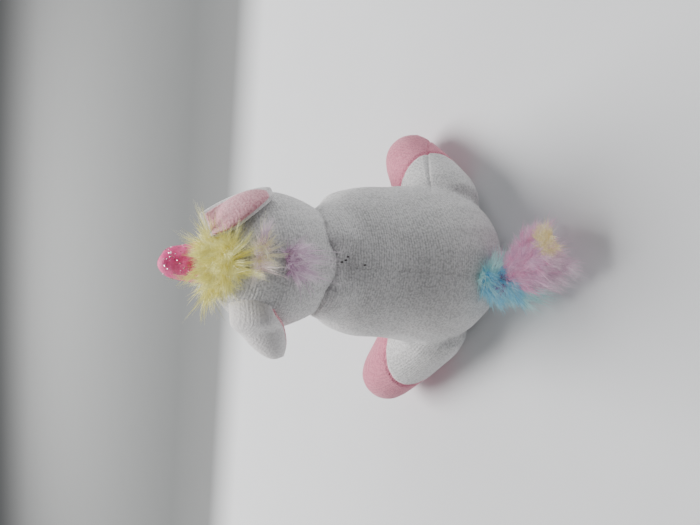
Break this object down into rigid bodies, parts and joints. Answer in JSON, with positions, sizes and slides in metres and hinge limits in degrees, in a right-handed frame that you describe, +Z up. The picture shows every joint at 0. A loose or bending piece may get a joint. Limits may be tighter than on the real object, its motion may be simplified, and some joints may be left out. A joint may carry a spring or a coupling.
{
  "type": "plush unicorn",
  "caption": "Seated stuffed unicorn toy with soft head, arms and legs that flex at the seams, floppy ears, a short glitter horn and a rainbow fur mane and tail.",
  "frame": {"origin": "centre of the toy's bounding box in plan, on the surface it sits on", "axes": "+Z up; the unicorn faces -Y, its own left side is +X and its tail runs towards +Y"},
  "size_m": [0.1514, 0.1444, 0.1547],
  "materials": {
    "white_velour": "matte",
    "hoof_pink": "matte",
    "ear_lining": "matte",
    "horn_glitter": "satin",
    "fur_yellow": "matte",
    "fur_lilac": "matte",
    "fur_blue": "matte",
    "fur_pink": "matte",
    "fur_cream": "matte",
    "fur_backing": "matte",
    "filling": "matte",
    "pellet_bag": "matte",
    "eye_black": "gloss",
    "washer": "matte",
    "face_thread": "satin",
    "closing_thread": "matte"
  },
  "bodies": {
    "torso": {"back_panel_left": "white_velour", "back_panel_right": "white_velour", "belly_panel": "white_velour", "seat_panel": "white_velour", "torso_stuffing": "filling", "seat_pellet_bag": "pellet_bag", "back_closing_thread": "closing_thread"},
    "neck": {"neck_stuffing": "filling"},
    "head": {"chin_panel": "white_velour", "eye_left": "eye_black", "eye_right": "eye_black", "eye_washer_left": "washer", "eye_washer_right": "washer", "forehead_panel": "white_velour", "head_panel_left": "white_velour", "head_panel_right": "white_velour", "head_stuffing": "filling", "mane_backing": "fur_backing", "mane_crown_fur": "fur_yellow", "mane_nape_fur": "fur_lilac", "mouth": "face_thread", "muzzle_cover": "white_velour", "nostril_left": "face_thread", "nostril_right": "face_thread"},
    "horn": {"horn_cover": "horn_glitter", "horn_stuffing": "filling"},
    "ear_left": {"ear_left_back": "white_velour", "ear_left_lining": "ear_lining"},
    "leg_left": {"leg_left_cover_lower": "white_velour", "leg_left_cover_upper": "white_velour", "leg_left_hoof": "hoof_pink", "leg_left_stuffing": "filling"},
    "arm_left": {"arm_left_cover_inner": "white_velour", "arm_left_cover_outer": "white_velour", "arm_left_hoof": "hoof_pink", "arm_left_stuffing": "filling"},
    "ear_right": {"ear_right_back": "white_velour", "ear_right_lining": "ear_lining"},
    "leg_right": {"leg_right_cover_lower": "white_velour", "leg_right_cover_upper": "white_velour", "leg_right_hoof": "hoof_pink", "leg_right_stuffing": "filling"},
    "arm_right": {"arm_right_cover_inner": "white_velour", "arm_right_cover_outer": "white_velour", "arm_right_hoof": "hoof_pink", "arm_right_stuffing": "filling"},
    "tail_root": {"tail_fur_blue": "fur_blue", "tail_core_root": "fur_backing"},
    "tail_end": {"tail_fur_pink": "fur_pink", "tail_fur_yellow": "fur_cream", "tail_core_end": "fur_backing"}
  },
  "joints": [
    {"name": "neck_turn", "type": "hinge", "parent": "torso", "child": "neck", "pos_m": [-0.00731, -0.01376, 0.106], "axis": [0, 0, 1], "range_deg": [-25, 25], "stiffness_Nm_per_rad": 0.6},
    {"name": "head_nod", "type": "hinge", "parent": "neck", "child": "head", "pos_m": [-0.00731, -0.01376, 0.106], "axis": [1, 0, 0], "range_deg": [-10, 10], "stiffness_Nm_per_rad": 0.9},
    {"name": "horn_flex", "type": "hinge", "parent": "head", "child": "horn", "pos_m": [-0.00431, -0.02876, 0.13], "axis": [0.9912, 0.1322, 0], "range_deg": [-8, 8], "stiffness_Nm_per_rad": 0.05},
    {"name": "ear_left_flop", "type": "hinge", "parent": "head", "child": "ear_left", "pos_m": [0.01169, -0.00476, 0.1305], "axis": [-0.4396, 0.5734, -0.6913], "range_deg": [-12, 8], "stiffness_Nm_per_rad": 0.02},
    {"name": "leg_left_lift", "type": "hinge", "parent": "torso", "child": "leg_left", "pos_m": [0.02769, -0.00276, 0.023], "axis": [-0.6783, -0.7348, 0], "range_deg": [-8, 25], "stiffness_Nm_per_rad": 0.5},
    {"name": "arm_left_swing", "type": "hinge", "parent": "torso", "child": "arm_left", "pos_m": [0.01469, -0.03376, 0.064], "axis": [-0.9939, -0.1104, 0], "range_deg": [-10, 30], "stiffness_Nm_per_rad": 0.3},
    {"name": "ear_right_flop", "type": "hinge", "parent": "head", "child": "ear_right", "pos_m": [-0.02331, -0.01276, 0.1395], "axis": [0.4474, 0.881, 0.1539], "range_deg": [-4, 16], "stiffness_Nm_per_rad": 0.02},
    {"name": "leg_right_lift", "type": "hinge", "parent": "torso", "child": "leg_right", "pos_m": [-0.03981, -0.00376, 0.0225], "axis": [-0.8069, 0.5907, 0], "range_deg": [-8, 25], "stiffness_Nm_per_rad": 0.5},
    {"name": "arm_right_swing", "type": "hinge", "parent": "torso", "child": "arm_right", "pos_m": [-0.02931, -0.03376, 0.064], "axis": [-0.9939, 0.1104, 0], "range_deg": [-10, 30], "stiffness_Nm_per_rad": 0.3},
    {"name": "tail_sway", "type": "hinge", "parent": "torso", "child": "tail_root", "pos_m": [-0.00731, 0.03624, 0.025], "axis": [0.0404, 0.6062, 0.7943], "range_deg": [-20, 20], "stiffness_Nm_per_rad": 0.25},
    {"name": "tail_lift", "type": "hinge", "parent": "tail_root", "child": "tail_end", "pos_m": [-0.00631, 0.05124, 0.0135], "axis": [0.5812, 0.8137, 0], "range_deg": [0, 30], "stiffness_Nm_per_rad": 0.15}
  ]
}
